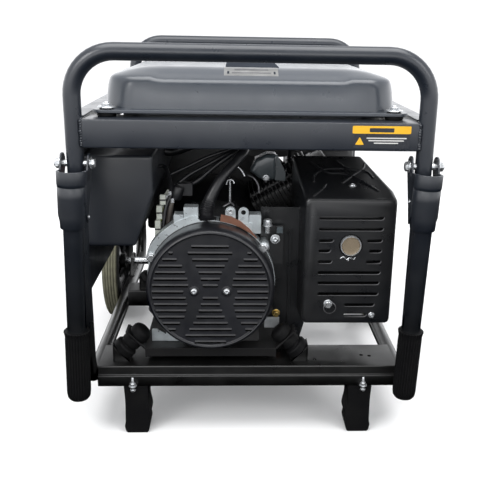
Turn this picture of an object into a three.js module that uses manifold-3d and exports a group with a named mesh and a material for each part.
// Portable petrol generator: tube frame, steel tank, engine, alternator, two wheels, two fold-down handles.
// Millimetres, +Z up, +X to the right and +Y to the back, seen from the alternator end.
import * as THREE from 'three';
import { mergeVertices } from 'three/addons/utils/BufferGeometryUtils.js';
import Module from 'manifold-3d';

const wasm = await Module();
wasm.setup();

// ---- driving dimensions ----
const FRAME_WIDTH = 540;
const FRAME_HEIGHT = 625;
const HOOP_SPACING = 665;
const TUBE_R = 12.7;
const BEND_R = 62;
const GAP = 0.3;
const RAIL_Z = 86;
const SHEET = 3;
const LEG_X = FRAME_WIDTH / 2 - TUBE_R;
const BEAM_HALF = LEG_X - TUBE_R - GAP;
const TOP_Z = FRAME_HEIGHT - TUBE_R;
const BEAM_LOW = 477;
const BEAM_HIGH = 518;
const DECK_HIGH = 521;
const SILL_LOW = 86;
const SILL_HIGH = 120;
const SILL_DEPTH = 80;
const CROSS_Y = 340;
const CROSS_DEPTH = 50;

const FOOT_X = 183.5;
const WHEEL_R = 125;
const AXLE_Y = 518;
const AXLE_R = 8;
const HUB_IN = 273.5;
const HUB_OUT = 309.5;
const RIM_R = 83.7;

const PIVOT_Z = 453;
const PIVOT_R = 5;
const HANDLE_TUBE_R = 14.3;
const HANDLE_Y = -32;
const HANDLE_END = -364;
const GRIP_R = 18.4;
const GRIP_TOP = -252;
const SLEEVE_R = 17;
const FORK_R = 20.4;
const HANDLE_LEAN = THREE.MathUtils.degToRad(1.5);

const CRANK_X = -62;
const CRANK_Z = 250;
const ISOLATOR_R = 19;
const ISOLATOR_LENGTH = 32;
const ISOLATOR_REACH = 146;
const ISOLATOR_FRONT_Y = 38;
const ISOLATOR_REAR_Y = 365;
const BED_Z = 142;

const TANK_Y = HOOP_SPACING / 2;
const TANK_FLANGE_Z = 524;
const TANK_HALF_X = 222;
const TANK_HALF_Y = 292.5;
const BOLT_X = 215;
const BOLT_Y = 34;

const BOX_FACE_X = -260.3;
const PANEL_FACE_X = BOX_FACE_X - SHEET;
const PANEL_FRONT = 44;
const PANEL_BACK = 404;

const BELL_FRONT = 45;
const BELL_BACK = 75;
const STATOR_BACK = 215;
const CRANKCASE_BACK = 400;

const MUFFLER_FRONT = 30;
const MUFFLER_BACK = 190;
const BRACKET_Y = 88;
const OUTLET_X = 159;
const OUTLET_Z = 318;

// The whole part stands with the middle of its box over the origin.
const FRONT_EXTENT = HANDLE_Y - FORK_R;
const BACK_EXTENT = HOOP_SPACING + TUBE_R;
const MID_Y = (FRONT_EXTENT + BACK_EXTENT) / 2;

// ---- materials ----
const paint = (color, roughness, metalness) =>
  new THREE.MeshStandardMaterial({ color, roughness, metalness });
const MATERIALS = {
  framePaint: paint(0x2b3038, 0.38, 0.3),
  tankPaint: paint(0x39404a, 0.3, 0.3),
  blackSteel: paint(0x17181b, 0.5, 0.3),
  panelPaint: paint(0x1f2227, 0.5, 0.2),
  zinc: paint(0xc9ccd1, 0.3, 0.9),
  castAluminium: paint(0xa9abac, 0.5, 0.8),
  enginePaint: paint(0x1d1f22, 0.5, 0.3),
  blackPlastic: paint(0x111214, 0.55, 0),
  rubber: paint(0x0d0d0e, 0.8, 0),
  tyreRubber: paint(0x4a493f, 0.85, 0),
  lamination: paint(0x55585c, 0.45, 0.7),
  redPlastic: paint(0xa01c14, 0.4, 0),
  wire: paint(0xb9b8b0, 0.5, 0),
};

// ---- solids from three.js geometry ----
function toSolid(geometry) {
  const bare = geometry.index ? geometry.toNonIndexed() : geometry.clone();
  bare.deleteAttribute('normal');
  bare.deleteAttribute('uv');
  const merged = mergeVertices(bare, 1e-3);
  const mesh = new wasm.Mesh({
    numProp: 3,
    vertProperties: new Float32Array(merged.attributes.position.array),
    triVerts: new Uint32Array(merged.index.array),
  });
  mesh.merge();
  return new wasm.Manifold(mesh);
}

function toGeometry(solid) {
  const mesh = solid.getMesh();
  const geometry = new THREE.BufferGeometry();
  geometry.setAttribute('position', new THREE.BufferAttribute(new Float32Array(mesh.vertProperties), 3));
  geometry.setIndex(new THREE.BufferAttribute(new Uint32Array(mesh.triVerts), 1));
  return geometry;
}

const join = (...pieces) => toGeometry(pieces.map(toSolid).reduce((all, next) => all.add(next)));
const cut = (body, ...tools) =>
  toGeometry(tools.map(toSolid).reduce((all, next) => all.subtract(next), toSolid(body)));
const common = (a, b) => toGeometry(toSolid(a).intersect(toSolid(b)));

const at = (x, y, z) => new THREE.Vector3(x, y, z);

function block(x0, x1, y0, y1, z0, z1) {
  const geometry = new THREE.BoxGeometry(x1 - x0, y1 - y0, z1 - z0);
  return geometry.translate((x0 + x1) / 2, (y0 + y1) / 2, (z0 + z1) / 2);
}

function rod(from, to, radius, sides = 16, endRadius = radius) {
  const along = to.clone().sub(from);
  const geometry = new THREE.CylinderGeometry(endRadius, radius, along.length(), sides);
  const turn = new THREE.Quaternion().setFromUnitVectors(at(0, 1, 0), along.clone().normalize());
  const middle = from.clone().add(to).multiplyScalar(0.5);
  return geometry.applyQuaternion(turn).translate(middle.x, middle.y, middle.z);
}

// Profiles are [radius, height] pairs about the Z axis, in either direction round the section.
function turned(profile, sides = 32) {
  const points = profile.map(([r, h]) => new THREE.Vector2(r, h));
  if (THREE.ShapeUtils.area(points) < 0) points.reverse();
  return new THREE.LatheGeometry(points, sides).rotateX(Math.PI / 2);
}

// The same profile about an axis along Y, with heights measured to the back.
const turnedBack = (profile, sides = 32) => turned(profile, sides).rotateX(-Math.PI / 2);

// The same profile about an axis along X, with heights measured to the right.
const turnedRight = (profile, sides = 32) => turned(profile, sides).rotateY(Math.PI / 2);

const outline = (points) => new THREE.Shape(points.map(([a, b]) => new THREE.Vector2(a, b)));
const prism = (shape, depth, curveSegments = 8) =>
  new THREE.ExtrudeGeometry(shape, { depth, bevelEnabled: false, curveSegments });

// An outline of [x, z] points, extruded from y0 to y1.
const alongY = (points, y0, y1) => prism(outline(points), y1 - y0).rotateX(Math.PI / 2).translate(0, y1, 0);

// An outline of [y, z] points, extruded from x0 to x1.
const alongX = (points, x0, x1) =>
  prism(outline(points), x1 - x0).rotateY(Math.PI / 2).rotateX(Math.PI / 2).translate(x0, 0, 0);

// An outline of [x, y] points, extruded from z0 to z1.
const alongZ = (points, z0, z1) => prism(outline(points), z1 - z0).translate(0, 0, z0);

function roundedRectangle(halfX, halfY, radius) {
  const shape = new THREE.Shape();
  shape.moveTo(halfX - radius, -halfY);
  shape.absarc(halfX - radius, -halfY + radius, radius, -Math.PI / 2, 0, false);
  shape.absarc(halfX - radius, halfY - radius, radius, 0, Math.PI / 2, false);
  shape.absarc(-halfX + radius, halfY - radius, radius, Math.PI / 2, Math.PI, false);
  shape.absarc(-halfX + radius, -halfY + radius, radius, Math.PI, Math.PI * 1.5, false);
  return shape;
}

// A path through corner points, rounded by arcs, with a station at each end of every straight.
class BentPath extends THREE.Curve {
  constructor(corners, bendRadius, stepsPerBend = 4) {
    super();
    this.stations = [{ point: corners[0], tangent: corners[1].clone().sub(corners[0]).normalize() }];
    for (let i = 1; i < corners.length - 1; i += 1) {
      const into = corners[i].clone().sub(corners[i - 1]).normalize();
      const out = corners[i + 1].clone().sub(corners[i]).normalize();
      const angle = into.angleTo(out);
      const setback = bendRadius * Math.tan(angle / 2);
      const start = corners[i].clone().addScaledVector(into, -setback);
      const inward = out.clone().addScaledVector(into, -out.dot(into)).normalize();
      const centre = start.clone().addScaledVector(inward, bendRadius);
      for (let k = 0; k <= stepsPerBend; k += 1) {
        const turn = (angle * k) / stepsPerBend;
        const point = centre.clone();
        point.addScaledVector(inward, -bendRadius * Math.cos(turn));
        point.addScaledVector(into, bendRadius * Math.sin(turn));
        const tangent = into.clone().multiplyScalar(Math.cos(turn)).addScaledVector(inward, Math.sin(turn));
        this.stations.push({ point, tangent });
      }
    }
    const last = corners.length - 1;
    const tangent = corners[last].clone().sub(corners[last - 1]).normalize();
    this.stations.push({ point: corners[last], tangent });
  }

  get steps() {
    return this.stations.length - 1;
  }

  getPointAt(u) {
    return this.stations[Math.round(u * this.steps)].point.clone();
  }

  getTangentAt(u) {
    return this.stations[Math.round(u * this.steps)].tangent.clone();
  }
}

function circle(radius, sides) {
  const points = [];
  for (let i = 0; i < sides; i += 1) {
    const a = ((i + 0.5) / sides) * Math.PI * 2;
    points.push([radius * Math.cos(a), radius * Math.sin(a)]);
  }
  return outline(points);
}

function bentTube(corners, radius, bendRadius, sides = 12, stepsPerBend = 4) {
  const path = new BentPath(corners, bendRadius, stepsPerBend);
  return new THREE.ExtrudeGeometry(circle(radius, sides), { steps: path.steps, extrudePath: path });
}

function hose(points, radius, sides = 8, steps = 24) {
  const path = new THREE.CatmullRomCurve3(points, false, 'centripetal');
  return new THREE.ExtrudeGeometry(circle(radius, sides), { steps, extrudePath: path });
}

// ---- the assembly ----
const generator = new THREE.Group();
const assembly = new THREE.Group();
assembly.position.set(0, -MID_Y, 0);
generator.add(assembly);

function add(name, geometry, material, parent = assembly) {
  const mesh = new THREE.Mesh(geometry, material);
  mesh.name = name;
  parent.add(mesh);
  return mesh;
}

const SIDES = [['left', -1], ['right', 1]];

// ---- tube frame ----
// Each hoop is one tube: along the floor rail, up a leg, over the top and down the other side.
function hoop(toMiddle) {
  const rail = 75 * toMiddle;
  const corners = [
    at(-LEG_X, rail, RAIL_Z),
    at(-LEG_X, 0, RAIL_Z),
    at(-LEG_X, 0, TOP_Z),
    at(LEG_X, 0, TOP_Z),
    at(LEG_X, 0, RAIL_Z),
    at(LEG_X, rail, RAIL_Z),
  ];
  return bentTube(corners, TUBE_R, BEND_R);
}

const pivotBore = rod(at(-FRAME_WIDTH, 0, PIVOT_Z), at(FRAME_WIDTH, 0, PIVOT_Z), PIVOT_R + 0.4);
add('front_hoop', cut(hoop(1), pivotBore), MATERIALS.framePaint);
add('rear_hoop', hoop(-1), MATERIALS.framePaint).position.set(0, HOOP_SPACING, 0);

// Floor rails, each with the welded plate that carries the axle.
function sideRail(side) {
  const x = side * LEG_X;
  const inset = 75 + GAP;
  const tube = rod(at(x, inset, RAIL_Z), at(x, HOOP_SPACING - inset, RAIL_Z), TUBE_R, 12);
  const plate = alongX(
    [[AXLE_Y - 34, RAIL_Z], [AXLE_Y + 34, RAIL_Z], [AXLE_Y + 16, WHEEL_R + 10],
      [AXLE_Y + 8, WHEEL_R + 18], [AXLE_Y - 8, WHEEL_R + 18], [AXLE_Y - 16, WHEEL_R + 10]],
    x - SHEET, x + SHEET,
  );
  const bore = rod(at(x - 20, AXLE_Y, WHEEL_R), at(x + 20, AXLE_Y, WHEEL_R), AXLE_R + 0.4);
  return cut(join(tube, plate), bore);
}

// Channel beams between the legs, open to the inside, with a wide top flange for the tank.
function deckBeam(sign) {
  const section = [[-9.7, BEAM_LOW], [6, BEAM_LOW], [6, BEAM_LOW + 2.5], [-7.2, BEAM_LOW + 2.5],
    [-7.2, BEAM_HIGH - 2.5], [50, BEAM_HIGH - 2.5], [50, BEAM_HIGH], [-9.7, BEAM_HIGH]];
  const beam = alongX(section, -BEAM_HALF, BEAM_HALF);
  return sign < 0 ? beam.rotateZ(Math.PI).translate(0, HOOP_SPACING, 0) : beam;
}
add('front_beam', deckBeam(1), MATERIALS.framePaint);
add('rear_beam', deckBeam(-1), MATERIALS.framePaint);

function deckRail(side) {
  const section = [[270, BEAM_LOW], [250, BEAM_LOW], [250, BEAM_LOW + 2.5], [267.5, BEAM_LOW + 2.5],
    [267.5, DECK_HIGH - 2.5], [245, DECK_HIGH - 2.5], [245, DECK_HIGH], [270, DECK_HIGH]];
  const end = TUBE_R + GAP;
  const rail = alongY(section, end, HOOP_SPACING - end);
  return side < 0 ? rail.rotateZ(Math.PI).translate(0, HOOP_SPACING, 0) : rail;
}
for (const [name, side] of SIDES) {
  add(`side_rail_${name}`, sideRail(side), MATERIALS.framePaint);
  add(`deck_rail_${name}`, deckRail(side), MATERIALS.framePaint);
}

// Each rubber mount stands on a 45 degree seat and leans towards the crankshaft.
const SLOPE = Math.SQRT1_2;
const mountFoot = (side, y) => at(CRANK_X + side * ISOLATOR_REACH, y, SILL_HIGH + 1 + ISOLATOR_R * SLOPE);

function mountSeat(side, y) {
  const foot = mountFoot(side, y);
  const reach = ISOLATOR_R * SLOPE;
  const out = foot.x + side * (reach + GAP);
  const inner = foot.x - side * (reach - 1.4);
  const points = [[out, foot.z + reach - GAP], [out, SILL_HIGH - 1], [inner, SILL_HIGH - 1],
    [inner, foot.z - reach + 1]];
  return alongY(side < 0 ? points : points.reverse(), y - 12, y + 12);
}

function frontSill() {
  const back = 6 + SILL_DEPTH;
  const channel = alongX(
    [[2, SILL_LOW], [9, SILL_LOW], [9, SILL_HIGH - SHEET], [back - SHEET, SILL_HIGH - SHEET],
      [back - SHEET, SILL_LOW + 8], [back, SILL_LOW + 8], [back, SILL_HIGH], [6, SILL_HIGH],
      [6, SILL_LOW + 18], [2, SILL_LOW + 18]],
    -BEAM_HALF, BEAM_HALF,
  );
  return join(channel, mountSeat(-1, ISOLATOR_FRONT_Y), mountSeat(1, ISOLATOR_FRONT_Y));
}
add('front_sill', frontSill(), MATERIALS.framePaint);

function crossMember() {
  const y0 = CROSS_Y;
  const y1 = CROSS_Y + CROSS_DEPTH;
  const channel = alongX(
    [[y0, SILL_LOW], [y0 + SHEET, SILL_LOW], [y0 + SHEET, SILL_HIGH - SHEET],
      [y1 - SHEET, SILL_HIGH - SHEET], [y1 - SHEET, SILL_LOW], [y1, SILL_LOW],
      [y1, SILL_HIGH], [y0, SILL_HIGH]],
    -BEAM_HALF, BEAM_HALF,
  );
  return join(channel, mountSeat(-1, ISOLATOR_REAR_Y), mountSeat(1, ISOLATOR_REAR_Y));
}
add('engine_cross_member', crossMember(), MATERIALS.framePaint);

// ---- front feet ----
const footSection = [[-19.5, SILL_LOW - GAP], [-18.5, 45], [-21.5, 28], [-19.5, 12], [-18, 0],
  [18, 0], [19.5, 12], [21.5, 28], [18.5, 45], [19.5, SILL_LOW - GAP]];
for (const [name, side] of SIDES) {
  add(`foot_${name}`, alongY(footSection, 2, 44), MATERIALS.rubber).position.x = side * FOOT_X;
}

// ---- rubber mounts and engine bed ----
function mount(side, y) {
  const foot = mountFoot(side, y);
  const up = at(-side * SLOPE, 0, SLOPE);
  const along = (distance) => foot.clone().addScaledVector(up, distance);
  const part = (from, to, r) => rod(along(from), along(to), r, 14);
  return join(part(0, 3, ISOLATOR_R), part(2, ISOLATOR_LENGTH - 2, ISOLATOR_R - 2.5),
    part(ISOLATOR_LENGTH - 3, ISOLATOR_LENGTH, ISOLATOR_R));
}
for (const [name, side] of SIDES) {
  add(`isolator_front_${name}`, mount(side, ISOLATOR_FRONT_Y), MATERIALS.rubber);
  add(`isolator_rear_${name}`, mount(side, ISOLATOR_REAR_Y), MATERIALS.rubber);
}

function engineBed() {
  const headX = ISOLATOR_REACH - (ISOLATOR_LENGTH + GAP) * SLOPE;
  const headZ = SILL_HIGH + 1 + (ISOLATOR_R + ISOLATOR_LENGTH + GAP) * SLOPE;
  const drop = headZ - BED_Z;
  const half = headX - drop;
  const wing = (side, y) => {
    const tip = [half + drop * 2, BED_Z + drop * 2];
    const thick = SHEET / SLOPE;
    const points = [[half, BED_Z], tip, [tip[0] - thick, tip[1]], [half - thick, BED_Z]];
    const turnedPoints = points.map(([x, z]) => [CRANK_X + side * x, z]);
    return alongY(side < 0 ? turnedPoints.reverse() : turnedPoints, y - 16, y + 16);
  };
  const plate = block(
    CRANK_X - half, CRANK_X + half, ISOLATOR_FRONT_Y - 16, ISOLATOR_REAR_Y + 16, BED_Z, BED_Z + SHEET,
  );
  return join(plate, wing(-1, ISOLATOR_FRONT_Y), wing(1, ISOLATOR_FRONT_Y),
    wing(-1, ISOLATOR_REAR_Y), wing(1, ISOLATOR_REAR_Y));
}
add('engine_bed', engineBed(), MATERIALS.blackSteel);

// ---- axle and wheels ----
function axle() {
  const end = HUB_OUT + 0.5;
  return turnedRight([[0, -end - 5], [15, -end - 5], [15, -end], [AXLE_R, -end], [AXLE_R, end],
    [15, end], [15, end + 5], [0, end + 5]], 16);
}
add('axle', axle(), MATERIALS.zinc).position.set(0, AXLE_Y, WHEEL_R);

const WHEEL_SIDES = 28;
const HUB_HALF = (HUB_OUT - HUB_IN) / 2;
const rimProfile = [[AXLE_R + 0.5, -HUB_HALF], [17, -HUB_HALF], [17, -2], [RIM_R - 3.5, -2],
  [RIM_R - 3.5, -14], [RIM_R, -14], [RIM_R, 14], [RIM_R - 3.5, 14], [RIM_R - 3.5, 2], [17, 2],
  [17, HUB_HALF],  [AXLE_R + 0.5, HUB_HALF], [AXLE_R + 0.5, -HUB_HALF]];
const tyreProfile = [[RIM_R + GAP, -14], [98, -17], [110, -HUB_HALF], [119, -16], [WHEEL_R, -11],
  [WHEEL_R, 11], [119, 16], [110, HUB_HALF], [98, 17], [RIM_R + GAP, 14], [RIM_R + GAP, -14]];
for (const [name, side] of SIDES) {
  const x = (side * (HUB_IN + HUB_OUT)) / 2;
  const rim = add(`rim_${name}`, turnedRight(rimProfile, WHEEL_SIDES), MATERIALS.blackSteel);
  rim.position.set(x, AXLE_Y, WHEEL_R);
  const tyre = add(`tyre_${name}`, turnedRight(tyreProfile, WHEEL_SIDES), MATERIALS.tyreRubber);
  tyre.position.set(x, AXLE_Y, WHEEL_R);
}

// ---- fold-down handles, each made about its own pivot and hanging down ----
const handleProfile = [[0, HANDLE_END], [HANDLE_TUBE_R, HANDLE_END], [HANDLE_TUBE_R, -95], [15.8, -92],
  [SLEEVE_R, -40], [SLEEVE_R, -14.5], [0, -14.5]];
const gripProfile = [[0, HANDLE_END - 5], [15, HANDLE_END - 5], [GRIP_R, HANDLE_END + 1],
  [GRIP_R - 0.8, GRIP_TOP - 8], [GRIP_R, GRIP_TOP], [HANDLE_TUBE_R + GAP, GRIP_TOP],
  [HANDLE_TUBE_R + GAP, HANDLE_END - GAP],  [0, HANDLE_END - GAP]];

// A pressed U that hugs the tube in front and straddles the frame leg behind.
function fork() {
  const inner = FORK_R - SHEET + 0.2;
  const wrap = (radius, back) => {
    const shape = new THREE.Shape();
    shape.moveTo(radius, back);
    shape.lineTo(-radius, back);
    shape.lineTo(-radius, HANDLE_Y);
    shape.absarc(0, HANDLE_Y, radius, Math.PI, Math.PI * 2, false);
    return prism(shape, 200, 6).translate(0, 0, -150);
  };
  const side = new THREE.Shape();
  side.moveTo(15, -8);
  side.absarc(0, 0, 17, -0.49, 2.3, false);
  side.lineTo(-54, -22);
  side.lineTo(-54, -100);
  side.lineTo(-18, -120);
  const profile = prism(side, 120, 6).rotateY(Math.PI / 2).rotateX(Math.PI / 2).translate(-60, 0, 0);
  const web = block(-60, 60, -60, -17, -14, 40);
  const bore = rod(at(-60, 0, 0), at(60, 0, 0), PIVOT_R + 1);
  return cut(common(cut(wrap(FORK_R, 20), wrap(inner, 30)), profile), web, bore);
}

function pivotBolt() {
  const ear = FORK_R + 1;
  return turnedRight([[0, -ear - 5], [8.5, -ear - 5], [8.5, -ear], [PIVOT_R, -ear], [PIVOT_R, ear],
    [8.5, ear], [8.5, ear + 5], [0, ear + 5]], 12);
}

for (const [name, side] of SIDES) {
  const pivot = new THREE.Group();
  pivot.position.set(side * LEG_X, 0, PIVOT_Z);
  assembly.add(pivot);
  const hanging = new THREE.Group();
  hanging.rotation.y = HANDLE_LEAN;
  pivot.add(hanging);
  add(`handle_fork_${name}`, fork(), MATERIALS.framePaint, hanging);
  const tube = add(`handle_tube_${name}`, turned(handleProfile, 16), MATERIALS.framePaint, hanging);
  tube.position.y = HANDLE_Y;
  add(`grip_${name}`, turned(gripProfile, 16), MATERIALS.rubber, hanging).position.y = HANDLE_Y;
  add(`pivot_bolt_${name}`, pivotBolt(), MATERIALS.zinc, pivot);
}

// ---- fuel tank and fittings ----
function fuelTank() {
  const edge = 10;
  const crownEdge = 46;
  const bevelled = (halfX, halfY, radius, depth, bevel, rise) =>
    new THREE.ExtrudeGeometry(roundedRectangle(halfX, halfY, radius), {
      depth,
      bevelEnabled: true,
      bevelSize: bevel,
      bevelThickness: rise,
      bevelSegments: 2,
      curveSegments: 4,
    });
  const shoulders = bevelled(TANK_HALF_X - edge, TANK_HALF_Y - edge, 40, 50, edge, edge);
  shoulders.translate(0, 0, 515);
  const crown = bevelled(165, 236, 50, 4, crownEdge, 12).translate(0, 0, 572);
  const belly = prism(roundedRectangle(196, 272, 40), TANK_FLANGE_Z - 482 + 1, 3).translate(0, 0, 482);
  const flange = prism(roundedRectangle(236, 312, 14), 4, 2).translate(0, 0, TANK_FLANGE_Z);
  const below = block(-300, 300, -400, 400, 400, TANK_FLANGE_Z + 1);
  const holes = [];
  for (const [, side] of SIDES) {
    const y = BOLT_Y - TANK_Y;
    holes.push(rod(at(side * BOLT_X, y, 500), at(side * BOLT_X, y, 540), 5.5, 12));
  }
  const upper = cut(join(shoulders, crown), below);
  return cut(join(upper, belly, flange), ...holes);
}
add('fuel_tank', fuelTank(), MATERIALS.tankPaint).position.y = TANK_Y;

const FLANGE_TOP = TANK_FLANGE_Z + 4 + GAP;
const boltProfile = [[0, BEAM_HIGH + GAP], [13, BEAM_HIGH + GAP], [13, TANK_FLANGE_Z - GAP],
  [5, TANK_FLANGE_Z - GAP], [5, FLANGE_TOP], [13, FLANGE_TOP], [13, 530.5], [8, 530.5], [8, 538],
  [4, 538], [4, 545], [0, 545]];
for (const [name, side] of SIDES) {
  const bolt = add(`tank_bolt_${name}`, turned(boltProfile, 10), MATERIALS.zinc);
  bolt.position.set(side * BOLT_X, BOLT_Y, 0);
}

const CAP_Z = 588 + GAP;
const capProfile = [[0, 0], [30, 0], [34, 4], [34, 17], [30, 22], [0, 24]];
add('fuel_cap', turned(capProfile, 24), MATERIALS.blackPlastic).position.set(0, TANK_Y, CAP_Z);

const VALVE_Y = 560;
const VALVE_Z = 452;
function fuelValve() {
  const neck = rod(at(0, 0, 482 - GAP - VALVE_Z), at(0, 0, 0), 7, 12);
  const body = rod(at(0, -14, 0), at(0, 10, 0), 12, 16);
  const bowl = rod(at(0, -4, -28), at(0, -4, 0), 10, 16);
  return join(neck, body, bowl);
}
add('fuel_valve', fuelValve(), MATERIALS.castAluminium).position.set(0, VALVE_Y, VALVE_Z);

function valveLever() {
  const hub = rod(at(0, 10 + GAP, 0), at(0, 19, 0), 8, 16);
  const arm = alongY([[-4.5, 0], [-3, -34], [3, -34], [4.5, 0]], 13, 18);
  return join(hub, arm);
}
add('fuel_valve_lever', valveLever(), MATERIALS.redPlastic).position.set(0, VALVE_Y, VALVE_Z);

// ---- alternator, on the crankshaft axis ----
const onCrank = (mesh) => mesh.position.set(CRANK_X, 0, CRANK_Z);

const coverProfile = [[0, 7], [86, 7], [88, 3], [92, 3], [94, 7], [102, 16], [102, BELL_FRONT - GAP],
  [98, BELL_FRONT - GAP], [98, 18], [92, 12], [0, 12]];
onCrank(add('alternator_cover', turnedBack(coverProfile, 36), MATERIALS.blackPlastic));

function endBell() {
  const bell = turnedBack([[15, BELL_FRONT], [104, BELL_FRONT], [104, BELL_BACK], [15, BELL_BACK],
    [15, BELL_FRONT]], 36);
  const floor = BED_Z + SHEET + GAP - CRANK_Z;
  const foot = (x) => block(x - 16, x + 16, BELL_FRONT + 2, BELL_BACK, floor, -80);
  const lugs = [0.9, 2.2, 3.9, 5.5].map((a) => {
    const centre = at(Math.cos(a) * 106, 0, Math.sin(a) * 106);
    return rod(at(centre.x, BELL_FRONT + 4, centre.z), at(centre.x, BELL_BACK, centre.z), 9, 10);
  });
  const rim = rod(at(0, BELL_FRONT + 2, 0), at(0, BELL_BACK, 0), 116, 36);
  const upper = common(rim, block(-100, 70, BELL_FRONT, BELL_BACK, 40, 130));
  const conduitGap = block(-21, 9, BELL_FRONT - 1, BELL_BACK + 1, 105, 130);
  return join(bell, foot(-62), foot(62), cut(upper, conduitGap), ...lugs);
}
onCrank(add('end_bell', endBell(), MATERIALS.castAluminium));

const statorProfile = [[70, BELL_BACK + GAP], [96, BELL_BACK + GAP], [96, STATOR_BACK], [70, STATOR_BACK],
  [70, BELL_BACK + GAP]];
onCrank(add('stator', turnedBack(statorProfile, 32), MATERIALS.lamination));

// Crankshaft, rotor and flywheel turn together.
const shaftProfile = [[0, 50], [13, 50], [13, 90], [66, 90], [66, 200], [13, 200], [13, 408],
  [96, 408], [96, 440], [30, 440], [30, 470], [0, 470]];
onCrank(add('crankshaft_rotor', turnedBack(shaftProfile, 24), MATERIALS.lamination));

// ---- engine ----
function crankcase() {
  const front = STATOR_BACK + GAP;
  const drum = turnedBack([[15, front], [104, front], [104, front + 15], [98, front + 20],
    [98, CRANKCASE_BACK - 12], [104, CRANKCASE_BACK - 8], [104, CRANKCASE_BACK],
    [15, CRANKCASE_BACK], [15, front]], 28);
  const floor = BED_Z + SHEET + GAP - CRANK_Z;
  const sump = block(-92, 92, front + 20, CRANKCASE_BACK - 10, floor, -40);
  const bore = rod(at(0, 100, 0), at(0, 500, 0), 15, 28);
  return cut(join(drum, sump), bore);
}
onCrank(add('crankcase', crankcase(), MATERIALS.enginePaint));

// The cylinder leans to the right: it is made along +Z here and then turned about the crankshaft.
const CYLINDER_TILT = THREE.MathUtils.degToRad(60);
const CYLINDER_Y = 300;
const tilted = new THREE.Group();
tilted.position.set(CRANK_X, CYLINDER_Y, CRANK_Z);
tilted.rotation.y = CYLINDER_TILT;
assembly.add(tilted);

function finnedCylinder() {
  const foot = 106;
  const fins = 11;
  const pitch = 12;
  const right = [];
  for (let i = 0; i < fins; i += 1) {
    const z = foot + i * pitch;
    right.push([40, z], [58, z], [58, z + 5], [40, z + 5]);
  }
  const left = right.map(([x, z]) => [-x, z]).reverse();
  return alongY([...right, ...left], -55, 55);
}
add('cylinder', finnedCylinder(), MATERIALS.enginePaint, tilted);

const HEAD_TOP = 106 + 10 * 12 + 5 + GAP;
const valveCoverShape = roundedRectangle(46, 44, 12);
const valveCover = new THREE.ExtrudeGeometry(valveCoverShape, {
  depth: 22, bevelEnabled: true, bevelSize: 4, bevelThickness: 5, bevelSegments: 1, curveSegments: 3,
}).translate(0, 0, HEAD_TOP + 5);
add('valve_cover', valveCover, MATERIALS.enginePaint, tilted);

const recoilProfile = [[0, 508], [40, 508], [105, 500], [125, 470], [125, CRANKCASE_BACK + GAP],
  [32, CRANKCASE_BACK + GAP], [32, CRANKCASE_BACK + 4], [121, CRANKCASE_BACK + 4], [121, 468],
  [103, 495], [40, 503], [0, 503]];
onCrank(add('recoil_cover', turnedBack(recoilProfile, 28), MATERIALS.enginePaint));

function recoilGrip() {
  const stem = rod(at(0, 0, 0), at(0, 16, 0), 5, 12);
  const bar = rod(at(-42, 22, 0), at(42, 22, 0), 9, 16);
  return join(stem, bar);
}
add('recoil_grip', recoilGrip(), MATERIALS.blackPlastic).position.set(CRANK_X + 40, 504, CRANK_Z + 82);

const CARB = { x: 140, y: 384, z: 352 };
function carburettor() {
  const throat = rod(at(0, -26, 0), at(0, 26, 0), 17, 16);
  const bowl = rod(at(0, 0, -42), at(0, 0, 0), 20, 16);
  const boss = rod(at(-24, 0, 14), at(0, 0, 14), 8, 12);
  return join(throat, bowl, boss);
}
add('carburettor', carburettor(), MATERIALS.castAluminium).position.set(CARB.x, CARB.y, CARB.z);

function chokeLever() {
  const hub = rod(at(0, 0, 22 + GAP), at(0, 0, 30), 6, 12);
  const arm = block(-4, 38, -4, 4, 25, 29);
  return join(hub, arm);
}
add('choke_lever', chokeLever(), MATERIALS.zinc).position.set(CARB.x, CARB.y, CARB.z);

const filterShape = roundedRectangle(66, 60, 16);
const airFilter = new THREE.ExtrudeGeometry(filterShape, {
  depth: 100, bevelEnabled: true, bevelSize: 4, bevelThickness: 6, bevelSegments: 1, curveSegments: 3,
}).translate(CARB.x + 14, CARB.y + 26 + GAP + 65, 306);
add('air_filter', airFilter, MATERIALS.blackPlastic);

const HOSE_R = 4.5;
const hoseRoute = [at(0, VALVE_Y - 4, VALVE_Z - 28.5), at(0, VALVE_Y - 4, 414), at(10, 545, 398),
  at(36, 490, 392), at(60, 430, 386), at(82, 392, 372), at(104, CARB.y, CARB.z + 14),
  at(CARB.x - 24.5, CARB.y, CARB.z + 14)];
add('fuel_hose', hose(hoseRoute, HOSE_R, 8, 20), MATERIALS.rubber);

// ---- exhaust ----
function muffler() {
  const body = alongZ([[94, 45], [220, 45], [220, 72], [186, 178], [92, 178]], 197, 370);
  const pipe = rod(at(148, 170, 346), at(148, CYLINDER_Y - 55 - GAP, 346), 14, 16);
  const bracket = block(18, 96, BRACKET_Y, BRACKET_Y + SHEET, BED_Z + SHEET + GAP + 4, 366);
  const around = rod(at(CRANK_X, 60, CRANK_Z), at(CRANK_X, 120, CRANK_Z), 104, 40);
  return join(body, pipe, cut(bracket, around));
}
add('muffler', muffler(), MATERIALS.blackSteel);

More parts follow.
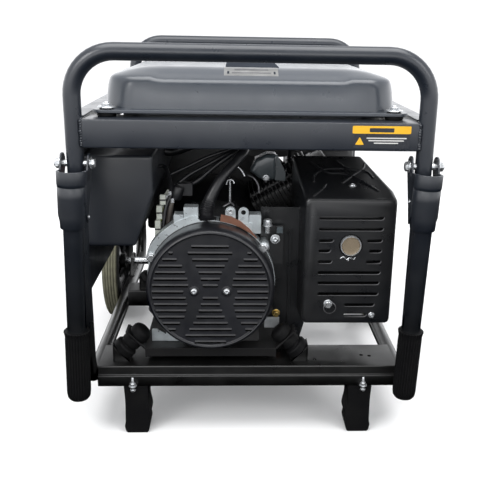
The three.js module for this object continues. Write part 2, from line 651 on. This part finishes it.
// Sheet cover with a sloping top, open below and behind, and a hole for the outlet.
function mufflerShield() {
  const shell = (inset, open) => {
    const side = alongX(
      [[MUFFLER_FRONT + inset, 184 - open], [MUFFLER_BACK + open, 184 - open],
        [MUFFLER_BACK + open, 433 - inset], [MUFFLER_FRONT + 4, 398 - inset],
        [MUFFLER_FRONT + inset, 394 - inset]],
      60, 260,
    );
    const plan = alongZ(
      [[86 + inset, MUFFLER_FRONT - 5], [231 - inset, MUFFLER_FRONT - 5],
        [231 - inset, MUFFLER_FRONT + 30], [200 - inset, MUFFLER_BACK + 1 + open],
        [76 + inset, MUFFLER_BACK + 1 + open]],
      150, 450,
    );
    return common(side, plan);
  };
  const hole = rod(at(OUTLET_X, 0, OUTLET_Z), at(OUTLET_X, 44, OUTLET_Z), 21, 24);
  const slot = block(60, 96, BRACKET_Y - 1, BRACKET_Y + 4, 150, 368);
  return cut(shell(0, 0), shell(2, 5), hole, slot);
}
add('muffler_shield', mufflerShield(), MATERIALS.blackSteel);

const arrestorProfile = [[0, 26], [14, 24], [18.5, 24], [18.5, 45 - GAP], [0, 45 - GAP]];
const arrestor = add('spark_arrestor', turnedBack(arrestorProfile, 24), MATERIALS.zinc);
arrestor.position.set(OUTLET_X, 0, OUTLET_Z);

// ---- control box ----
const OUTLETS = [['front', 205], ['rear', 290]];
const OUTLET_Z_PANEL = 372;
const SWITCH = { y: 110, z: 420 };
const BREAKER = { y: 110, z: 352 };

function controlBox() {
  const section = (inset, face) => [[face, 309 + inset], [-183 - inset, 309 + inset],
    [-152 - inset, 394 + inset / 2], [-152 - inset, 456 - inset], [face, 456 - inset]];
  const outer = alongY(section(0, BOX_FACE_X), 50, 396);
  const inner = alongY(section(2, BOX_FACE_X - 5), 52, 394);
  return cut(outer, inner);
}
add('control_box', controlBox(), MATERIALS.panelPaint);

function controlPanel() {
  const plate = block(PANEL_FACE_X, BOX_FACE_X - GAP, PANEL_FRONT, PANEL_BACK, 228, BEAM_LOW - GAP);
  const window = block(-300, -200, SWITCH.y - 12.5, SWITCH.y + 12.5, SWITCH.z - 17, SWITCH.z + 17);
  const hole = rod(at(-300, BREAKER.y, BREAKER.z), at(-200, BREAKER.y, BREAKER.z), 9, 16);
  return cut(plate, window, hole);
}
add('control_panel', controlPanel(), MATERIALS.panelPaint);

for (const [name, y] of OUTLETS) {
  const profile = [[0, PANEL_FACE_X - 9], [20, PANEL_FACE_X - 9], [24, PANEL_FACE_X - 7],
    [27, PANEL_FACE_X - 2], [27, PANEL_FACE_X - GAP], [0, PANEL_FACE_X - GAP]];
  const outlet = add(`outlet_${name}`, turnedRight(profile, 24), MATERIALS.blackPlastic);
  outlet.position.set(0, y, OUTLET_Z_PANEL);
}

// The rocker is drawn tipped to its off position about its own pivot.
const ROCKER_TIP = THREE.MathUtils.degToRad(8);
const rocker = alongY([[-5, -14], [4, -11], [4, 11], [-5, 14], [-3.5, 0]], -11, 11);
const switchMesh = add('engine_switch', rocker, MATERIALS.redPlastic);
switchMesh.position.set(PANEL_FACE_X - 1, SWITCH.y, SWITCH.z);
switchMesh.rotation.y = ROCKER_TIP;

const buttonProfile = [[0, -8], [6, -8], [7, -7], [7, 4], [0, 4]];
add('breaker_button', turnedRight(buttonProfile, 16), MATERIALS.redPlastic)
  .position.set(PANEL_FACE_X, BREAKER.y, BREAKER.z);

// ---- conduit and wiring ----
const CONDUIT_R = 9;
const conduitBase = at(CRANK_X - 6, 60, CRANK_Z + 106);
const conduitRoute = [conduitBase.clone().add(at(0, 0, 2)), at(-66, 60, 388), at(-52, 76, 424),
  at(-20, 108, 452), at(-8, 160, 462), at(-36, 214, 462), at(-96, 236, 444), at(-134, 240, 430),
  at(-151, 240, 430)];
const conduitBoot = rod(conduitBase, at(-66, 60, 386), 13.5, 16, 12);
const conduit = join(hose(conduitRoute, CONDUIT_R, 8, 24), conduitBoot);
add('conduit', conduit, MATERIALS.blackPlastic);

const loomRoute = [at(-152, 84, 300), at(-148, 82, 340), at(-138, 86, 384), at(-134, 104, 410),
  at(-139, 126, 422), at(-145, 130, 424), at(-151, 130, 424)];
add('wiring_loom', hose(loomRoute, 6, 8, 14), MATERIALS.wire);

export default generator;
